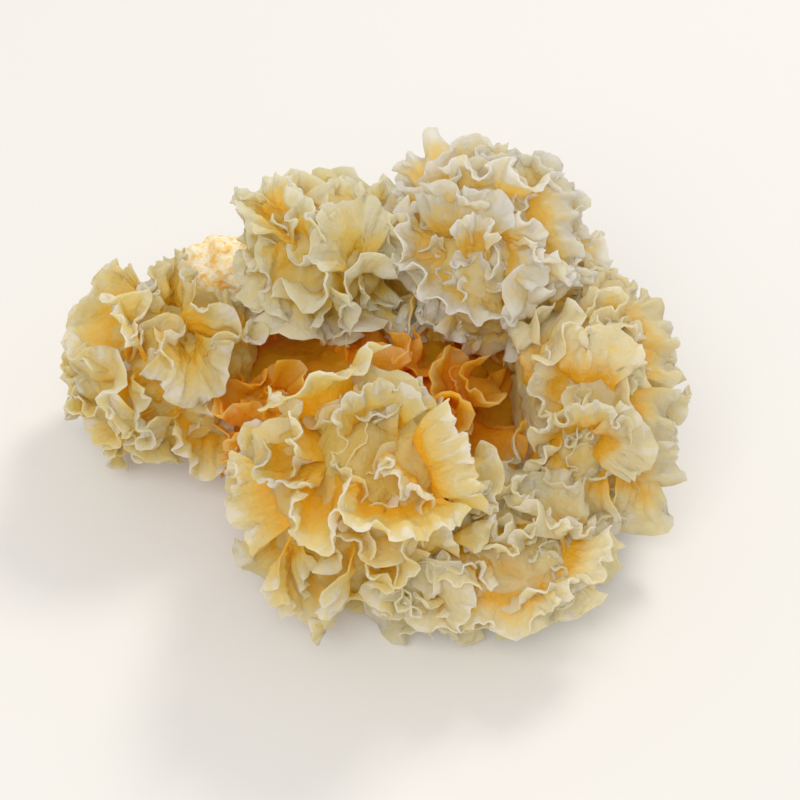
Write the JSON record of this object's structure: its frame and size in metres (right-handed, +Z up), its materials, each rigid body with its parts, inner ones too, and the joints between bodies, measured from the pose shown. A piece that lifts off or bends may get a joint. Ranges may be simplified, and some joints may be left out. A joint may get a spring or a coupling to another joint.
{
  "type": "dried snow fungus",
  "caption": "Dried head of snow fungus: thin ruffled fronds in rounded lobes round an orange foot, resting on its flat cut underside.",
  "frame": {"origin": "middle of the foot's flat cut underside, on the surface that the head rests on", "axes": "+Z up, +X to the right along the longest side, +Y to the back of the head"},
  "size_m": [0.1269, 0.1057, 0.0625],
  "materials": {
    "orange_foot": "dry, smooth, slightly see-through orange flesh",
    "rough_stub": "rough, porous, pale orange cut flesh",
    "cream_frond": "dry, papery, slightly see-through cream fronds, yellow in their folds",
    "yellow_frond": "dry, papery, slightly see-through yellow fronds with cream margins"
  },
  "bodies": {
    "root": {"foot": "orange_foot", "cut_stub": "rough_stub", "left_lobe": "cream_frond", "upper_left_lobe": "cream_frond", "upper_right_lobe": "cream_frond", "right_lobe": "yellow_frond", "front_lobe": "cream_frond", "front_right_lobe": "yellow_frond", "back_lobe": "cream_frond"}
  },
  "joints": []
}
